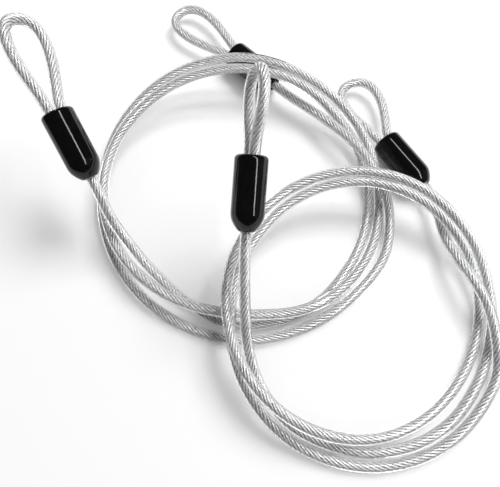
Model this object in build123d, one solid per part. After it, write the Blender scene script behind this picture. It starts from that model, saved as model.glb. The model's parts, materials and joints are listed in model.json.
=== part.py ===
"""A pair of looped security cables: a twisted steel rope in a clear PVC jacket, coiled,
with an eye at both ends, each eye held by a crimped ferrule inside a black moulded sleeve.

Millimetres, +Z up. The pair lies on the plane Z = 0, and the origin is under its middle.
"""
from build123d import *
import os
from math import cos, pi, radians, sin, tan

os.makedirs("parts", exist_ok=True)

# Cable
ROPE_DIAMETER = 2.2
JACKET_DIAMETER = 4.0
JACKET_BORE = 2.3

# Ferrule: an oval of two bores, crimped over the two legs of an eye
LEG_OFFSET = 2.15
FERRULE_BORE = 4.1
FERRULE_WALL = 1.1
FERRULE_LENGTH = 10.0
FERRULE_TOP_GAP = 4.0

# Sleeve: a moulded boot over the ferrule, rounded to the mouth where the coil's cable enters
SLEEVE_LENGTH = 25.5
SLEEVE_WIDTH = 12.2
SLEEVE_DEPTH = 11.4
MOUTH_ROUNDING = 3.3
TOP_ROUNDING = 0.9
MOUTH_BORE = 4.4
MOUTH_BORE_INNER = 5.6
MOUTH_BORE_DEPTH = 3.1
THROAT_WIDTH = 8.6
THROAT_TOP = 8.0
TOP_WALL = 2.5
LEG_HOLE = 4.5
FERRULE_CLEARANCE = 0.1

# How far the coil's cable reaches into the mouth, and how far it leaves it straight
CABLE_IN_MOUTH = 2.2
TAIL_START = 8.0

# Coils: one point every 30 degrees, each pass of the cable on and beside the others
STATION_ANGLE = 30.0
FILLET_SHARE = 0.45
CHORD_LOSS = cos(radians(STATION_ANGLE / 2))
REAR_CENTRE = (-8.2, 3.7)
REAR_FIRST_ANGLE = 270
REAR_COIL = [  # (radius, height) at each station
    (54.6, 2.0), (55.0, 2.0), (52.4, 2.0), (52.8, 2.3), (53.4, 5.4), (52.0, 15.2),
    (52.4, 17.0), (54.4, 14.2), (55.4, 11.8), (55.2, 10.4), (54.0, 10.2), (52.2, 8.8),
    (50.6, 6.8), (56.0, 6.9), (57.2, 3.5), (57.0, 2.4), (57.4, 8.8), (56.4, 15.0),
    (58.8, 16.6), (61.0, 12.0), (59.8, 7.2), (57.2, 4.2), (57.2, 2.4), (58.2, 2.0),
    (60.4, 2.0), (60.6, 2.0), (62.2, 2.0),
]
FRONT_CENTRE = (37.0, -45.5)
FRONT_FIRST_ANGLE = 240
FRONT_COIL = [
    (49.0, 2.4), (50.0, 2.0), (50.2, 2.0), (48.8, 2.0), (50.2, 2.6), (52.6, 7.4),
    (52.4, 15.4), (52.5, 17.2), (52.2, 14.8), (51.0, 14.4), (50.0, 16.4), (49.4, 16.2),
    (47.6, 10.8), (45.4, 5.6), (43.4, 3.4), (42.7, 2.7), (45.6, 2.8), (48.2, 8.2),
    (47.9, 15.4), (48.1, 17.0), (47.9, 13.8), (46.8, 11.8), (48.2, 12.0), (51.6, 8.8),
    (53.8, 3.0), (54.6, 2.0), (54.6, 2.0), (53.8, 2.6),
]

# Tails: the free stretches between a coil and its sleeves, from the coil's centre
REAR_LEFT_TAIL = [
    (-49.2, -16.5, 17.6), (-44.2, -23.1, 11.4), (-39.0, -29.1, 6.6), (-33.0, -35.3, 3.8),
    (-18.7, -48.1, 2.2),
]
REAR_RIGHT_TAIL = [
    (60.5, -15.0, 4.0), (58.2, 1.0, 9.2), (50.2, 15.7, 10.4), (43.2, 24.9, 9.6),
    (34.2, 34.1, 8.2), (26.2, 41.3, 7.0),
]
FRONT_LEFT_TAIL = [
    (-43.5, 5.8, 26.6), (-43.3, -5.7, 20.4), (-42.2, -17.7, 13.0), (-37.4, -30.3, 6.2),
]
FRONT_RIGHT_TAIL = [
    (48.6, -13.1, 7.5), (46.5, 0.0, 9.8), (42.4, 9.9, 10.4), (37.8, 19.5, 9.0),
    (34.8, 29.3, 6.5), (34.0, 38.5, 6.0),
]

# Ends: mouth of the sleeve from the coil's centre, axis of the sleeve towards the eye, direction
# across the eye, and the eye's outer width, outer length and sideways lean in degrees
ENDS = {
    "rear_left": {
        "mouth": (-54.4, -5.4, 27.8), "axis": (-0.42, 0.765, 0.49), "across": (0.62, 0.59, -0.53),
        "width": 17.0, "length": 35.5, "lean": 6,
    },
    "rear_right": {
        "mouth": (14.5, 51.9, 6.25), "axis": (-0.715, 0.699, -0.02), "across": (0.70, 0.72, 0),
        "width": 18.5, "length": 37.5, "lean": -1,
    },
    "front_left": {
        "mouth": (-42.9, 20.1, 34.0), "axis": (0.075, 0.905, 0.42), "across": (0.37, -0.42, 0.83),
        "width": 16.0, "length": 30.0, "lean": 0,
    },
    "front_right": {
        "mouth": (29.7, 51.5, 6.25), "axis": (-0.54, 0.842, -0.02), "across": (0.84, 0.54, 0),
        "width": 19.0, "length": 34.0, "lean": 11,
    },
}


def end_frame(end, centre):
    """Plane at the sleeve's mouth: Z along the sleeve towards the eye, X across the eye."""
    x, y, z = end["mouth"]
    return Plane(
        origin=(centre[0] + x, centre[1] + y, z), x_dir=end["across"], z_dir=end["axis"]
    )


def coil_points(centre, first_angle, stations):
    """Route points of the turns. The fillets cut each corner, so a point stands further out."""
    points = []
    for number, (radius, height) in enumerate(stations):
        angle = radians(first_angle + STATION_ANGLE * number)
        reach = radius / CHORD_LOSS
        points.append(
            Vector(centre[0] + reach * cos(angle), centre[1] + reach * sin(angle), height)
        )
    return points


def run_route(centre, left, left_tail, first_angle, stations, right_tail, right):
    """Route of a coiled cable, from inside its left sleeve to inside its right one."""
    shift = Vector(centre[0], centre[1], 0)
    starts = []
    for end in (left, right):
        frame = end_frame(end, centre)
        starts.append(frame.origin + frame.z_dir * CABLE_IN_MOUTH)
        starts.append(frame.origin - frame.z_dir * (TAIL_START - CABLE_IN_MOUTH))
    return (
        starts[:2]
        + [shift + Vector(*point) for point in left_tail]
        + coil_points(centre, first_angle, stations)
        + [shift + Vector(*point) for point in right_tail]
        + [starts[3], starts[2]]
    )


def eye_route(end):
    """Route of an eye in its end frame: tail in the ferrule, round the eye, and back."""
    half_width = (end["width"] - JACKET_DIAMETER) / 2
    length = end["length"] - JACKET_DIAMETER / 2
    lean = radians(end["lean"])
    side = [
        (0.55 * half_width, 7.0), (1.04 * half_width, 0.55 * length),
        (1.09 * half_width, 0.83 * length), (0.56 * half_width, length),
    ]
    legs = []
    for sign in (-1, 1):
        legs.append([
            (sign * u * cos(lean) + v * sin(lean), v * cos(lean) - sign * u * sin(lean))
            for u, v in side
        ])
    outline = (
        [(-LEG_OFFSET, -15.5), (-LEG_OFFSET, 1.5)] + legs[0] + legs[1][::-1]
        + [(LEG_OFFSET, 1.5), (LEG_OFFSET, -16.6), (0.0, -21.2)]
    )
    return [Vector(u, 0, SLEEVE_LENGTH + v) for u, v in outline]


def bend_radii(points):
    """Fillet radius at each inner point: as large as its two runs allow."""
    radii = []
    for before, corner, after in zip(points, points[1:], points[2:]):
        inward, outward = corner - before, after - corner
        turn = radians(inward.get_angle(outward))
        radii.append(FILLET_SHARE * min(inward.length, outward.length) / tan(turn / 2))
    return radii


def tube(points, outer, inner=0.0):
    """A round tube along straight runs joined by tangent arcs."""
    path = FilletPolyline(*points, radius=bend_radii(points))
    section = Circle(outer / 2)
    if inner:
        section = section - Circle(inner / 2)
    solid = sweep(Plane(origin=path @ 0, z_dir=path % 0) * section, path=path)
    expected = pi / 4 * (outer**2 - inner**2) * path.length
    print(f"    tube {path.length:.1f} mm long, volume {solid.volume / expected:.4f} of expected")
    return solid


def oval(width, depth, height):
    """An upright bar with round sides, standing on the local plane."""
    return extrude(SlotOverall(width, depth), height)


def ferrule():
    """Crimped oval with a bore for each leg of the eye, in the end frame."""
    outer_width = 2 * LEG_OFFSET + FERRULE_BORE + 2 * FERRULE_WALL
    body = oval(outer_width, FERRULE_BORE + 2 * FERRULE_WALL, FERRULE_LENGTH)
    body = fillet(body.edges().filter_by(GeomType.LINE, reverse=True).group_by(Axis.Z)[0], 0.5)
    for side in (-1, 1):
        body -= Pos(side * LEG_OFFSET, 0, 0) * extrude(Circle(FERRULE_BORE / 2), FERRULE_LENGTH)
    return Pos(0, 0, SLEEVE_LENGTH - FERRULE_TOP_GAP - FERRULE_LENGTH) * body


def sleeve_outside():
    """The boot's outer shape: a slightly oval bar, well rounded at the mouth."""
    body = extrude(Ellipse(SLEEVE_WIDTH / 2, SLEEVE_DEPTH / 2), SLEEVE_LENGTH)
    body = fillet(body.edges().group_by(Axis.Z)[0], MOUTH_ROUNDING)
    return fillet(body.edges().group_by(Axis.Z)[-1], TOP_ROUNDING)


def sleeve():
    """Moulded boot: open inside around the ferrule, with a hole for each leg of the eye.

    The mouth widens inwards, which leaves the coil's cable room to tilt in it.
    """
    body = sleeve_outside()
    pocket_width = 2 * (LEG_OFFSET + FERRULE_BORE / 2 + FERRULE_WALL + FERRULE_CLEARANCE)
    pocket_depth = FERRULE_BORE + 2 * (FERRULE_WALL + FERRULE_CLEARANCE)
    pocket_height = SLEEVE_LENGTH - TOP_WALL - THROAT_TOP
    body -= Pos(0, 0, THROAT_TOP) * oval(pocket_width, pocket_depth, pocket_height)
    throat_height = THROAT_TOP - MOUTH_BORE_DEPTH
    body -= Pos(0, 0, MOUTH_BORE_DEPTH) * oval(THROAT_WIDTH, pocket_depth, throat_height)
    mouth = Cone(MOUTH_BORE / 2, MOUTH_BORE_INNER / 2, MOUTH_BORE_DEPTH)
    body -= Pos(0, 0, MOUTH_BORE_DEPTH / 2) * mouth
    for side in (-1, 1):
        hole = extrude(Circle(LEG_HOLE / 2), TOP_WALL)
        body -= Pos(side * LEG_OFFSET, 0, SLEEVE_LENGTH - TOP_WALL) * hole
    return body


def write(name, solid):
    solid.label = name
    export_step(solid, f"parts/{name}.step")
    print(f"{name}: {solid.volume:.0f} mm3")


def write_end(name, end, centre):
    """The eye, ferrule and sleeve of one end of a cable."""
    place = end_frame(end, centre).location
    route = eye_route(end)
    print(f"{name} eye, bend radii: {[round(radius, 1) for radius in bend_radii(route)]}")
    write(f"{name}_eye_rope", place * tube(route, ROPE_DIAMETER))
    write(f"{name}_eye_jacket", place * tube(route, JACKET_DIAMETER, JACKET_BORE))
    write(f"{name}_ferrule", place * ferrule())
    write(f"{name}_sleeve", place * sleeve())


def write_run(name, route):
    """The coiled length of one cable: the rope and the jacket over it."""
    print(f"{name} run, bend radii: {[round(radius, 1) for radius in bend_radii(route)]}")
    write(f"{name}_run_rope", tube(route, ROPE_DIAMETER))
    write(f"{name}_run_jacket", tube(route, JACKET_DIAMETER, JACKET_BORE))


CABLES = {
    "rear": (REAR_CENTRE, REAR_LEFT_TAIL, REAR_FIRST_ANGLE, REAR_COIL, REAR_RIGHT_TAIL),
    "front": (FRONT_CENTRE, FRONT_LEFT_TAIL, FRONT_FIRST_ANGLE, FRONT_COIL, FRONT_RIGHT_TAIL),
}

for cable, (centre, left_tail, first_angle, stations, right_tail) in CABLES.items():
    left, right = ENDS[f"{cable}_left"], ENDS[f"{cable}_right"]
    write_run(cable, run_route(centre, left, left_tail, first_angle, stations, right_tail, right))
    write_end(f"{cable}_left", left, centre)
    write_end(f"{cable}_right", right, centre)
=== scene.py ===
"""Looks of a pair of looped security cables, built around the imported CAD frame.

Metres, +Z up. Each cable is seven twisted steel strands in a clear jacket, along the same
route as its CAD tube. Each eye goes into a glossy black moulded sleeve.
"""
import json
from math import cos, pi, radians, sin

import bpy
import numpy as np
from mathutils import Matrix, Vector

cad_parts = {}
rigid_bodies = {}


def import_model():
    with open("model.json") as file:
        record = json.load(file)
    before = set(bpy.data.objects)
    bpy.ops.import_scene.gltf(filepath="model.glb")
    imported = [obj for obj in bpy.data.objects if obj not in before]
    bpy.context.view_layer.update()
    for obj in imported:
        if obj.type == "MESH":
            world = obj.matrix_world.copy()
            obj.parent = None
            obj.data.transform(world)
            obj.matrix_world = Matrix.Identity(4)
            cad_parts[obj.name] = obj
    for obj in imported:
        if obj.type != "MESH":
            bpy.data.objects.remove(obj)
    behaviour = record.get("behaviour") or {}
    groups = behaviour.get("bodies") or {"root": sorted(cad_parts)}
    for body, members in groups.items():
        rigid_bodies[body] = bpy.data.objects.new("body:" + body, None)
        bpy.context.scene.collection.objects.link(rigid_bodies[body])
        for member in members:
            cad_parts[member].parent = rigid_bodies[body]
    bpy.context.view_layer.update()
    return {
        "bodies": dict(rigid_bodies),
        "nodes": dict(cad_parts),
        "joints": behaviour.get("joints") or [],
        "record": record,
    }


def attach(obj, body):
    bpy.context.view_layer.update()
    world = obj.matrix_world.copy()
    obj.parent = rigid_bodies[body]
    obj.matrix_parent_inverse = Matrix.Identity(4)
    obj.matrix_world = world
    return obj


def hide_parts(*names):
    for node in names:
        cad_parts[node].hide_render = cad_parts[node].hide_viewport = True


# Cable
ROPE_RADIUS = 0.0011
JACKET_RADIUS = 0.0020
STRAND_COUNT = 6  # round one core strand
STRAND_RADIUS = ROPE_RADIUS / 3
STRAND_ORBIT = ROPE_RADIUS - STRAND_RADIUS
LAY_LENGTH = 0.0134
STRAND_SIDES = 8
CORE_SIDES = 5
JACKET_SIDES = 24
POINTS_PER_SPAN = {"run": 40, "eye": 26}
JACKET_STEP = 2  # the jacket has a ring at every second point of its line

# Sleeve
SLEEVE_LENGTH = 0.0255
SLEEVE_HALF_WIDTH = 0.0061
SLEEVE_HALF_DEPTH = 0.0057
SLEEVE_TOP_ROUNDING = 0.0015
TOP_ROUNDING_STEPS = 6
SLEEVE_SIDES = 72
SLEEVE_BORE = [  # (radius, height) of the round bore, from deep inside to the lip
    (0.0028, 0.0042), (0.00275, 0.0028), (0.0026, 0.0016), (0.0024, 0.0007), (0.0023, 0.0003),
    (0.00235, 0.0001),
]
SLEEVE_WALL = [  # (inset, height) of the oval outside, from the lip round the mouth and up
    (0.0033, 0.0), (0.0030, 0.0001), (0.0026, 0.0005), (0.0020, 0.0012), (0.0014, 0.0020),
    (0.00088, 0.0029), (0.00048, 0.0037), (0.0002, 0.0046), (0.00005, 0.0054), (0.0, 0.0062),
    (0.0, 0.0085), (0.0, 0.0120), (0.0, 0.0160), (0.0, 0.0200),
    (0.0, SLEEVE_LENGTH - 2 * SLEEVE_TOP_ROUNDING),
]
SLEEVE_TOP = [(0.0024, SLEEVE_LENGTH), (0.0040, SLEEVE_LENGTH - 0.0001)]

# Eye: heights are from the sleeve's top, so the tails' ends in the sleeve are below zero
LEG_OFFSET = 0.00215
LEG_STRAIGHT = 0.0015
EYE_SHOULDER = 0.007
LEFT_TAIL_END = -0.0155
RIGHT_TAIL_BEND = -0.0166
RIGHT_TAIL_END = -0.0212

# How far the coil's cable reaches into the mouth, and the length of its straight start
CABLE_IN_MOUTH = 0.0022
TAIL_START = 0.0080

# Coils: (radius, height) at one station every 30 degrees, as in the CAD route
STATION_ANGLE = 30.0
CHORD_LOSS = cos(radians(STATION_ANGLE / 2))
REAR_CENTRE = (-0.0082, 0.0037)
REAR_FIRST_ANGLE = 270
REAR_COIL = [
    (0.0546, 0.002), (0.055, 0.002), (0.0524, 0.002), (0.0528, 0.0023), (0.0534, 0.0054),
    (0.052, 0.0152), (0.0524, 0.017), (0.0544, 0.0142), (0.0554, 0.0118), (0.0552, 0.0104),
    (0.054, 0.0102), (0.0522, 0.0088), (0.0506, 0.0068), (0.056, 0.0069), (0.0572, 0.0035),
    (0.057, 0.0024), (0.0574, 0.0088), (0.0564, 0.015), (0.0588, 0.0166), (0.061, 0.012),
    (0.0598, 0.0072), (0.0572, 0.0042), (0.0572, 0.0024), (0.0582, 0.002), (0.0604, 0.002),
    (0.0606, 0.002), (0.0622, 0.002),
]
FRONT_CENTRE = (0.037, -0.0455)
FRONT_FIRST_ANGLE = 240
FRONT_COIL = [
    (0.049, 0.0024), (0.05, 0.002), (0.0502, 0.002), (0.0488, 0.002), (0.0502, 0.0026),
    (0.0526, 0.0074), (0.0524, 0.0154), (0.0525, 0.0172), (0.0522, 0.0148), (0.051, 0.0144),
    (0.05, 0.0164), (0.0494, 0.0162), (0.0476, 0.0108), (0.0454, 0.0056), (0.0434, 0.0034),
    (0.0427, 0.0027), (0.0456, 0.0028), (0.0482, 0.0082), (0.0479, 0.0154), (0.0481, 0.017),
    (0.0479, 0.0138), (0.0468, 0.0118), (0.0482, 0.012), (0.0516, 0.0088), (0.0538, 0.003),
    (0.0546, 0.002), (0.0546, 0.002), (0.0538, 0.0026),
]

# Tails: the free stretches between a coil and its sleeves, from the coil's centre
REAR_LEFT_TAIL = [
    (-0.0492, -0.0165, 0.0176), (-0.0442, -0.0231, 0.0114), (-0.039, -0.0291, 0.0066),
    (-0.033, -0.0353, 0.0038), (-0.0187, -0.0481, 0.0022),
]
REAR_RIGHT_TAIL = [
    (0.0605, -0.015, 0.004), (0.0582, 0.001, 0.0092), (0.0502, 0.0157, 0.0104),
    (0.0432, 0.0249, 0.0096), (0.0342, 0.0341, 0.0082), (0.0262, 0.0413, 0.007),
]
FRONT_LEFT_TAIL = [
    (-0.0435, 0.0058, 0.0266), (-0.0433, -0.0057, 0.0204), (-0.0422, -0.0177, 0.013),
    (-0.0374, -0.0303, 0.0062),
]
FRONT_RIGHT_TAIL = [
    (0.0486, -0.0131, 0.0075), (0.0465, 0.0, 0.0098), (0.0424, 0.0099, 0.0104),
    (0.0378, 0.0195, 0.009), (0.0348, 0.0293, 0.0065), (0.034, 0.0385, 0.006),
]
CABLES = {
    "rear": (REAR_CENTRE, REAR_LEFT_TAIL, REAR_FIRST_ANGLE, REAR_COIL, REAR_RIGHT_TAIL),
    "front": (FRONT_CENTRE, FRONT_LEFT_TAIL, FRONT_FIRST_ANGLE, FRONT_COIL, FRONT_RIGHT_TAIL),
}

# Ends: mouth of the sleeve from the coil's centre, axis of the sleeve towards the eye, direction
# across the eye, and the eye's outer width, outer length and sideways lean in degrees
ENDS = {
    "rear_left": {
        "mouth": (-0.0544, -0.0054, 0.0278), "axis": (-0.42, 0.765, 0.49),
        "across": (0.62, 0.59, -0.53), "width": 0.017, "length": 0.0355, "lean": 6,
    },
    "rear_right": {
        "mouth": (0.0145, 0.0519, 0.00625), "axis": (-0.715, 0.699, -0.02),
        "across": (0.7, 0.72, 0), "width": 0.0185, "length": 0.0375, "lean": -1,
    },
    "front_left": {
        "mouth": (-0.0429, 0.0201, 0.034), "axis": (0.075, 0.905, 0.42),
        "across": (0.37, -0.42, 0.83), "width": 0.016, "length": 0.03, "lean": 0,
    },
    "front_right": {
        "mouth": (0.0297, 0.0515, 0.00625), "axis": (-0.54, 0.842, -0.02),
        "across": (0.84, 0.54, 0), "width": 0.019, "length": 0.034, "lean": 11,
    },
}

# Camera: aimed down at the pair, with its top towards +Y
CAMERA_TARGET = Vector((-0.0046, -0.0172, 0.0))
CAMERA_DISTANCE = 0.2
CAMERA_ELEVATION = 70.0
CAMERA_LENS = 35.424

# Studio
TABLE_HALF_SIZE = 3.0
ROOM_STRENGTH = 0.55
MIRRORED_ROOM_STRENGTH = 0.07

# Steel: wires round each strand, and their turns in one lay length of the rope
WIRES_PER_STRAND = 6.0
WIRE_TURNS = 9.0


# Routes

def end_frame(end, centre):
    """Matrix of a sleeve's frame at its mouth: Z along the sleeve to the eye, X across the eye."""
    along = Vector(end["axis"]).normalized()
    across = Vector(end["across"])
    across = (across - along * across.dot(along)).normalized()
    frame = Matrix((across, along.cross(across), along)).transposed().to_4x4()
    x, y, z = end["mouth"]
    frame.translation = (centre[0] + x, centre[1] + y, z)
    return frame


def coil_points(centre, first_angle, stations):
    """Control points of the turns. The spline cuts each corner, so a point stands further out."""
    points = []
    for number, (radius, height) in enumerate(stations):
        angle = radians(first_angle + STATION_ANGLE * number)
        reach = radius / CHORD_LOSS
        points.append(
            Vector((centre[0] + reach * cos(angle), centre[1] + reach * sin(angle), height))
        )
    return points


def run_route(cable):
    """Control points of a coiled cable, from inside its left sleeve to inside its right one."""
    centre, left_tail, first_angle, stations, right_tail = CABLES[cable]
    shift = Vector((*centre, 0))
    starts = []
    for side in ("left", "right"):
        frame = end_frame(ENDS[f"{cable}_{side}"], centre)
        starts.append(frame @ Vector((0, 0, CABLE_IN_MOUTH)))
        starts.append(frame @ Vector((0, 0, CABLE_IN_MOUTH - TAIL_START)))
    return (
        starts[:2]
        + [shift + Vector(point) for point in left_tail]
        + coil_points(centre, first_angle, stations)
        + [shift + Vector(point) for point in right_tail]
        + [starts[3], starts[2]]
    )


def eye_route(end, frame):
    """Control points of an eye: from its tail in the sleeve, round the eye, and back."""
    half_width = end["width"] / 2 - JACKET_RADIUS
    length = end["length"] - JACKET_RADIUS
    lean = radians(end["lean"])
    side = [
        (0.55 * half_width, EYE_SHOULDER), (1.04 * half_width, 0.55 * length),
        (1.09 * half_width, 0.83 * length), (0.56 * half_width, length),
    ]
    legs = []
    for sign in (-1, 1):
        legs.append([
            (sign * u * cos(lean) + v * sin(lean), v * cos(lean) - sign * u * sin(lean))
            for u, v in side
        ])
    outline = (
        [(-LEG_OFFSET, LEFT_TAIL_END), (-LEG_OFFSET, LEG_STRAIGHT)] + legs[0] + legs[1][::-1]
        + [(LEG_OFFSET, LEG_STRAIGHT), (LEG_OFFSET, RIGHT_TAIL_BEND), (0.0, RIGHT_TAIL_END)]
    )
    return [frame @ Vector((u, 0, SLEEVE_LENGTH + v)) for u, v in outline]


def smooth_line(name, points, points_per_span):
    """Points along the NURBS spline that has the route's points as its control points."""
    curve = bpy.data.curves.new(name, "CURVE")
    curve.dimensions = "3D"
    spline = curve.splines.new("NURBS")
    spline.points.add(len(points) - 1)
    for control, point in zip(spline.points, points):
        control.co = (*point, 1.0)
    spline.order_u = 3
    spline.use_endpoint_u = True
    spline.resolution_u = points_per_span
    holder = bpy.data.objects.new(name, curve)
    mesh = bpy.data.meshes.new_from_object(holder)
    line = np.array([vertex.co for vertex in mesh.vertices])
    bpy.data.objects.remove(holder)
    bpy.data.curves.remove(curve)
    bpy.data.meshes.remove(mesh)
    return line


# Meshes that follow a line

def unit(vectors):
    """Each row, scaled to length one."""
    return vectors / np.linalg.norm(vectors, axis=1, keepdims=True)


def travelled(line):
    """Length along the line at each of its points."""
    steps = np.linalg.norm(np.diff(line, axis=0), axis=1)
    return np.concatenate([[0.0], np.cumsum(steps)])


def side_directions(line):
    """Two directions square to the line at each point, carried along it without twisting."""
    tangents = unit(np.gradient(line, axis=0))
    first = np.cross(tangents[0], (0.0, 0.0, 1.0))
    sides = [first / np.linalg.norm(first)]
    for tangent in tangents[1:]:
        side = sides[-1] - tangent * (sides[-1] @ tangent)
        sides.append(side / np.linalg.norm(side))
    sides = np.array(sides)
    return sides, np.cross(tangents, sides)


def tube_rings(line, sides, ups, radius, count):
    """Vertices of a round tube: one ring of count points at each point of the line."""
    angles = np.arange(count) * 2 * pi / count
    around = (
        np.cos(angles)[None, :, None] * sides[:, None, :]
        + np.sin(angles)[None, :, None] * ups[:, None, :]
    )
    return line[:, None, :] + radius * around


def tube_faces(rings, count, first):
    """Quads of a tube whose vertices start at index first, closed by a cap at each end."""
    faces = []
    for ring in range(rings - 1):
        here = first + ring * count
        for side in range(count):
            after = (side + 1) % count
            faces.append((here + side, here + after, here + count + after, here + count + side))
    last = first + (rings - 1) * count
    faces.append(tuple(range(first + count - 1, first - 1, -1)))
    faces.append(tuple(range(last, last + count)))
    return faces


def tube_uvs(lengths, count):
    """UV of each face corner: once round the tube in U, and lay lengths along it in V."""
    along = lengths / LAY_LENGTH
    side = np.arange(count) / count
    after = side + 1 / count
    corners = np.empty((len(lengths) - 1, count, 4, 2))
    corners[:, :, 0, 0], corners[:, :, 3, 0] = side, side
    corners[:, :, 1, 0], corners[:, :, 2, 0] = after, after
    corners[:, :, 0, 1] = corners[:, :, 1, 1] = along[:-1, None]
    corners[:, :, 2, 1] = corners[:, :, 3, 1] = along[1:, None]
    caps = np.zeros((2 * count, 2))
    return np.concatenate([corners.reshape(-1, 2), caps])


def new_piece(name, vertices, faces, uvs, material):
    """A smooth-shaded mesh object in the scene."""
    mesh = bpy.data.meshes.new(name)
    mesh.from_pydata(vertices.tolist(), [], faces)
    layer = mesh.uv_layers.new(name="UVMap")
    layer.data.foreach_set("uv", uvs.astype(np.float32).ravel())
    mesh.polygons.foreach_set("use_smooth", [True] * len(mesh.polygons))
    mesh.materials.append(material)
    mesh.update()
    piece = bpy.data.objects.new(name, mesh)
    bpy.context.scene.collection.objects.link(piece)
    return piece


def strand_line(line, sides, ups, lengths, number):
    """Line of one outer strand, wound round the rope with a right-hand lay, and its outward side."""
    angle = 2 * pi * (lengths / LAY_LENGTH + number / STRAND_COUNT)
    outward = np.cos(angle)[:, None] * sides + np.sin(angle)[:, None] * ups
    return line + STRAND_ORBIT * outward, outward


def rope(name, line, material):
    """Six strands wound round a core strand."""
    sides, ups = side_directions(line)
    lengths = travelled(line)
    vertices = [tube_rings(line, sides, ups, STRAND_RADIUS, CORE_SIDES).reshape(-1, 3)]
    faces = tube_faces(len(line), CORE_SIDES, 0)
    uvs = [tube_uvs(lengths, CORE_SIDES)]
    first = len(vertices[0])
    for number in range(STRAND_COUNT):
        centre, outward = strand_line(line, sides, ups, lengths, number)
        tangents = unit(np.gradient(centre, axis=0))
        out = unit(outward - tangents * np.sum(outward * tangents, axis=1, keepdims=True))
        rings = tube_rings(centre, out, np.cross(tangents, out), STRAND_RADIUS, STRAND_SIDES)
        vertices.append(rings.reshape(-1, 3))
        faces += tube_faces(len(line), STRAND_SIDES, first)
        uvs.append(tube_uvs(lengths, STRAND_SIDES))
        first += rings.shape[0] * rings.shape[1]
    return new_piece(name, np.concatenate(vertices), faces, np.concatenate(uvs), material)


def jacket(name, line, material):
    """The clear jacket's outer surface, closed at both ends."""
    keep = np.unique(np.append(np.arange(0, len(line), JACKET_STEP), len(line) - 1))
    sides, ups = side_directions(line)
    rings = tube_rings(line[keep], sides[keep], ups[keep], JACKET_RADIUS, JACKET_SIDES)
    faces = tube_faces(len(keep), JACKET_SIDES, 0)
    uvs = tube_uvs(travelled(line)[keep], JACKET_SIDES)
    return new_piece(name, rings.reshape(-1, 3), faces, uvs, material)


# Sleeve

def sleeve_profile():
    """(half width, half depth, height) from the bore, round the mouth, up the wall, to the top."""
    rounding = []
    for step in range(TOP_ROUNDING_STEPS + 1):
        angle = radians(90.0 * step / TOP_ROUNDING_STEPS)
        inset = SLEEVE_TOP_ROUNDING * (1 - cos(angle))
        rounding.append((inset, SLEEVE_LENGTH - SLEEVE_TOP_ROUNDING * (1 - sin(angle))))
    profile = [(radius, radius, height) for radius, height in SLEEVE_BORE]
    for inset, height in SLEEVE_WALL + rounding + SLEEVE_TOP:
        profile.append((SLEEVE_HALF_WIDTH - inset, SLEEVE_HALF_DEPTH - inset, height))
    return profile


def sleeve(name, frame, material):
    """The moulded boot: an oval wall, a rounded mouth with an open bore, and a closed top."""
    profile = sleeve_profile()
    angles = np.arange(SLEEVE_SIDES) * 2 * pi / SLEEVE_SIDES
    rings = []
    for half_width, half_depth, height in profile:
        rings.append(np.stack([
            half_width * np.cos(angles), half_depth * np.sin(angles),
            np.full(SLEEVE_SIDES, height),
        ], axis=1))
    local = np.concatenate(rings)
    turn, place = np.array(frame.to_3x3()), np.array(frame.translation)
    faces = tube_faces(len(profile), SLEEVE_SIDES, 0)
    uvs = tube_uvs(np.array([height for _, _, height in profile]), SLEEVE_SIDES)
    return new_piece(name, local @ turn.T + place, faces, uvs, material)


# Materials

def shader(name, **values):
    """A new material and its Principled shader, with these sockets set."""
    material = bpy.data.materials.new(name)
    material.use_nodes = True
    principled = material.node_tree.nodes["Principled BSDF"]
    for socket, value in values.items():
        principled.inputs[socket.replace("_", " ")].default_value = value
    return material, principled


def node(material, kind, inputs=None, **settings):
    """A new node, with its settings, and each input either a value or another node's output."""
    made = material.node_tree.nodes.new(kind)
    for setting, value in settings.items():
        setattr(made, setting, value)
    for socket, value in (inputs or {}).items():
        if isinstance(value, bpy.types.NodeSocket):
            material.node_tree.links.new(value, made.inputs[socket])
        else:
            made.inputs[socket].default_value = value
    return made


def link(material, output, socket):
    """Joins a node's output to another node's input."""
    material.node_tree.links.new(output, socket)


def noise(material, scale, detail=2.0):
    """Value of a 3-D noise in the piece's own coordinates, with scale features per metre."""
    place = node(material, "ShaderNodeTexCoord").outputs["Object"]
    inputs = {"Vector": place, "Scale": scale, "Detail": detail}
    return node(material, "ShaderNodeTexNoise", inputs).outputs["Fac"]


def ramp(material, value, low, high, colours):
    """Colour between two, as value goes from low to high."""
    made = node(material, "ShaderNodeValToRGB", {"Fac": value})
    for element, position, colour in zip(made.color_ramp.elements, (low, high), colours):
        element.position = position
        element.color = (*colour, 1.0)
    return made.outputs["Color"]


def remap(material, value, low, high):
    """Value from 0 to 1, moved to the range from low to high."""
    return node(
        material, "ShaderNodeMapRange", {"Value": value, "To Min": low, "To Max": high}
    ).outputs["Result"]


def bump(material, principled, height, distance, strength):
    """Tilts the shading by a height, which stands for distance metres at its full value."""
    made = node(
        material, "ShaderNodeBump",
        {"Height": height, "Distance": distance, "Strength": strength},
    )
    link(material, made.outputs["Normal"], principled.inputs["Normal"])


def arithmetic(material, operation, first, second=None):
    """Output of a Math node."""
    inputs = {0: first} if second is None else {0: first, 1: second}
    return node(material, "ShaderNodeMath", inputs, operation=operation).outputs[0]


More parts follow.
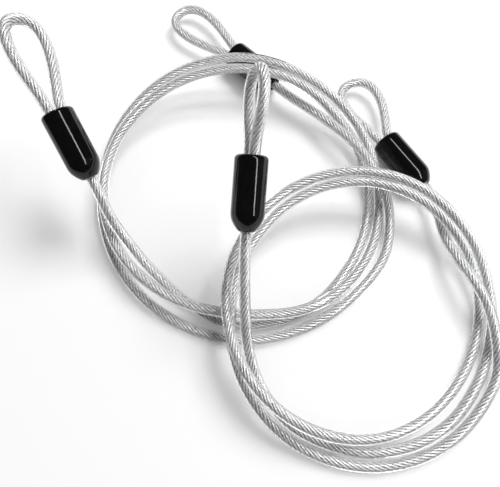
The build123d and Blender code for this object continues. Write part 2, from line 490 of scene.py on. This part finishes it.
def steel_material():
    """Bright galvanised wire: six wires round each strand, with painted shade in the valleys between
    strands and in the grooves between wires.
    """
    material, principled = shader("bright_steel_wire", Metallic=0.42)
    uv = node(material, "ShaderNodeSeparateXYZ", {
        "Vector": node(material, "ShaderNodeUVMap", uv_map="UVMap").outputs["UV"],
    })
    around, along = uv.outputs["X"], uv.outputs["Y"]
    wires = arithmetic(material, "MULTIPLY", around, WIRES_PER_STRAND)
    twist = arithmetic(material, "MULTIPLY", along, WIRE_TURNS)
    phase = arithmetic(material, "ADD", wires, twist)
    wave = arithmetic(material, "SINE", arithmetic(material, "MULTIPLY", phase, pi))
    crown = arithmetic(material, "ABSOLUTE", wave)
    # Painted shade: each strand's sides, where it meets the next strand, are darker than its outward
    # crown.
    strand_gap_shade = arithmetic(material, "COSINE", arithmetic(material, "MULTIPLY", around, 2 * pi))
    # Painted shade in the grooves between neighbouring wires.
    wire_groove_shade = remap(material, crown, low=0.0, high=0.12)
    painted_shade_tone = arithmetic(material, "ADD", strand_gap_shade, wire_groove_shade)
    # Grey of the painted shade in the gaps between strands, and the steel's own grey on the crowns.
    shaded_valley_grey, crest = (0.36, 0.36, 0.37), (0.78, 0.78, 0.78)
    tint = ramp(material, painted_shade_tone, low=0.10, high=0.85, colours=(shaded_valley_grey, crest))
    link(material, tint, principled.inputs["Base Color"])
    worn = remap(material, noise(material, scale=900.0, detail=3.0), low=0.20, high=0.38)
    link(material, worn, principled.inputs["Roughness"])
    bump(material, principled, crown, distance=0.00003, strength=0.22)
    return material


def clear_jacket_material():
    """Clear soft PVC. Its shadow rays pass, so that lamps reach the rope inside it."""
    material, principled = shader(
        "clear_soft_pvc", Base_Color=(0.99, 0.99, 0.99, 1.0), Transmission_Weight=1.0, IOR=1.52,
    )
    worn = remap(material, noise(material, scale=420.0), low=0.02, high=0.09)
    link(material, worn, principled.inputs["Roughness"])
    waves = noise(material, scale=260.0, detail=1.0)
    bump(material, principled, waves, distance=0.00004, strength=0.35)
    pass_through = node(material, "ShaderNodeBsdfTransparent", {"Color": (0.76, 0.76, 0.76, 1.0)})
    shadow = node(material, "ShaderNodeLightPath").outputs["Is Shadow Ray"]
    mixed = node(material, "ShaderNodeMixShader", {
        "Fac": shadow, 1: principled.outputs["BSDF"], 2: pass_through.outputs["BSDF"],
    })
    output = material.node_tree.nodes["Material Output"]
    link(material, mixed.outputs["Shader"], output.inputs["Surface"])
    return material


def sleeve_material():
    """Glossy black moulded PVC, with a faint orange peel and a few duller patches."""
    material, principled = shader("glossy_black_pvc", IOR=1.5, Specular_IOR_Level=0.40)
    blacks = (0.0012, 0.0012, 0.0012), (0.0030, 0.0030, 0.0030)
    mottle = noise(material, scale=500.0, detail=4.0)
    tint = ramp(material, mottle, low=0.35, high=0.7, colours=blacks)
    link(material, tint, principled.inputs["Base Color"])
    worn = remap(material, noise(material, scale=240.0, detail=4.0), low=0.04, high=0.14)
    link(material, worn, principled.inputs["Roughness"])
    peel = noise(material, scale=550.0)
    bump(material, principled, peel, distance=0.00008, strength=0.25)
    return material


def ferrule_material():
    """Dull pressed aluminium with fine press marks."""
    material, principled = shader("pressed_aluminium", Metallic=1.0)
    marks = noise(material, scale=1500.0, detail=4.0)
    greys = (0.55, 0.55, 0.56), (0.78, 0.78, 0.79)
    tint = ramp(material, marks, low=0.3, high=0.7, colours=greys)
    link(material, tint, principled.inputs["Base Color"])
    worn = remap(material, marks, low=0.35, high=0.55)
    link(material, worn, principled.inputs["Roughness"])
    bump(material, principled, marks, distance=0.00004, strength=0.5)
    return material


def table_material():
    """Matt white table."""
    material, principled = shader("white_table", Roughness=0.9, Specular_IOR_Level=0.1)
    whites = (0.86, 0.86, 0.86), (0.88, 0.88, 0.88)
    tint = ramp(material, noise(material, scale=3.0), low=0.2, high=0.8, colours=whites)
    link(material, tint, principled.inputs["Base Color"])
    return material


# Scene

def build_run(cable, materials):
    """One coiled cable between its two sleeves."""
    line = smooth_line(f"{cable}_run_line", run_route(cable), POINTS_PER_SPAN["run"])
    strands = rope(f"{cable}_run_strands", line, materials["steel"])
    clear = jacket(f"{cable}_run_clear_jacket", line, materials["clear"])
    for piece, part, slot in ((strands, "rope", "steel_rope"), (clear, "jacket", "clear_pvc")):
        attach(piece, "coils")
        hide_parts(f"{cable}_run_{part}")
    return clear, strands, line


def build_end(name, centre, materials):
    """One eye and its sleeve."""
    end = ENDS[name]
    frame = end_frame(end, centre)
    line = smooth_line(f"{name}_eye_line", eye_route(end, frame), POINTS_PER_SPAN["eye"])
    strands = rope(f"{name}_eye_strands", line, materials["steel"])
    clear = jacket(f"{name}_eye_clear_jacket", line, materials["clear"])
    boot = sleeve(f"{name}_sleeve_moulding", frame, materials["sleeve"])
    pieces = (
        (strands, "eye_rope", "steel_rope"), (clear, "eye_jacket", "clear_pvc"),
        (boot, "sleeve", "black_pvc"),
    )
    for piece, part, slot in pieces:
        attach(piece, f"{name}_end")
        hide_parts(f"{name}_{part}")
    return clear, strands, boot, line


def declare_cords(run, ends, nodes):
    """Gathers the coil's strands, and each eye's jacket, strands, sleeve and ferrule, into a list
    that nothing else uses.
    """
    clear, strands, line = run
    fittings = [strands]
    for name, (eye_clear, eye_strands, boot, _) in ends.items():
        fittings += [eye_clear, eye_strands, boot, nodes[f"{name}_ferrule"]]


def add_table():
    """The flat top that the pair lies on, which isn't part of the object."""
    size = TABLE_HALF_SIZE
    mesh = bpy.data.meshes.new("table")
    corners = [(-size, -size, 0), (size, -size, 0), (size, size, 0), (-size, size, 0)]
    mesh.from_pydata(corners, [], [(0, 1, 2, 3)])
    mesh.materials.append(table_material())
    table = bpy.data.objects.new("table", mesh)
    bpy.context.scene.collection.objects.link(table)


def add_area_light(
    name, place, size, power, along=(0.0, 1.0, 0.0), in_reflections=True, on_matt=True
):
    """A rectangular lamp that faces the pair. size is (width, length), and its length lies along."""
    data = bpy.data.lights.new(name, "AREA")
    data.shape = "RECTANGLE"
    data.size, data.size_y = size
    data.energy = power
    lamp = bpy.data.objects.new(name, data)
    back = Vector(place).normalized()
    length = Vector(along) - back * Vector(along).dot(back)
    length.normalize()
    lamp.matrix_world = Matrix((length.cross(back), length, back)).transposed().to_4x4()
    lamp.location = place
    lamp.visible_glossy = in_reflections
    lamp.visible_diffuse = on_matt
    bpy.context.scene.collection.objects.link(lamp)


def add_world():
    """A pale room for matt surfaces, and a darker one in reflections."""
    world = bpy.data.worlds.new("studio")
    bpy.context.scene.world = world
    world.use_nodes = True
    tree = world.node_tree
    room = tree.nodes["Background"]
    room.inputs["Color"].default_value = (1.0, 1.0, 1.0, 1.0)
    room.inputs["Strength"].default_value = ROOM_STRENGTH
    mirrored = tree.nodes.new("ShaderNodeBackground")
    mirrored.inputs["Color"].default_value = (1.0, 1.0, 1.0, 1.0)
    mirrored.inputs["Strength"].default_value = MIRRORED_ROOM_STRENGTH
    mix = tree.nodes.new("ShaderNodeMixShader")
    path = tree.nodes.new("ShaderNodeLightPath")
    tree.links.new(path.outputs["Is Glossy Ray"], mix.inputs["Fac"])
    tree.links.new(room.outputs["Background"], mix.inputs[1])
    tree.links.new(mirrored.outputs["Background"], mix.inputs[2])
    tree.links.new(mix.outputs["Shader"], tree.nodes["World Output"].inputs["Surface"])


def add_lights():
    """A soft key from the upper right, a slim strip for the gloss, and a faint panel at the right."""
    add_area_light(
        "key", place=(0.51, 0.61, 0.96), size=(0.54, 0.54), power=14.0, in_reflections=False,
    )
    add_area_light(
        "strip", place=(0.25, -0.025, 0.50), size=(0.065, 0.78), power=1.9,
        along=(-0.55, 0.835, 0.0), on_matt=False,
    )
    add_area_light("side_panel", place=(0.60, -0.10, 0.22), size=(0.5, 0.6), power=0.10)


def add_camera():
    """Looks down at the pair from the front."""
    data = bpy.data.cameras.new("camera")
    data.sensor_fit = "HORIZONTAL"
    data.sensor_width = 36.0
    data.lens = CAMERA_LENS
    data.clip_start = 0.01
    camera = bpy.data.objects.new("camera", data)
    tilt = radians(90.0 - CAMERA_ELEVATION)
    camera.location = CAMERA_TARGET + CAMERA_DISTANCE * Vector((0.0, -sin(tilt), cos(tilt)))
    camera.rotation_euler = (tilt, 0.0, 0.0)
    bpy.context.scene.collection.objects.link(camera)
    bpy.context.scene.camera = camera


def finish_ferrules(nodes):
    """Gives the CAD's own ferrules their look."""
    pressed = ferrule_material()
    for name in ENDS:
        for slot in nodes[f"{name}_ferrule"].material_slots:
            slot.material = pressed


def build_cable(cable, materials, nodes):
    """One cable: its coiled run and its two ends."""
    centre = CABLES[cable][0]
    run = build_run(cable, materials)
    ends = {}
    for side in ("left", "right"):
        name = f"{cable}_{side}"
        ends[name] = build_end(name, centre, materials)
    declare_cords(run, ends, nodes)


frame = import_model()
materials = {
    "steel": steel_material(), "clear": clear_jacket_material(), "sleeve": sleeve_material(),
}
finish_ferrules(frame["nodes"])
for cable in CABLES:
    build_cable(cable, materials, frame["nodes"])
add_table()
add_lights()
add_world()
add_camera()
bpy.context.scene.view_settings.view_transform = "Standard"
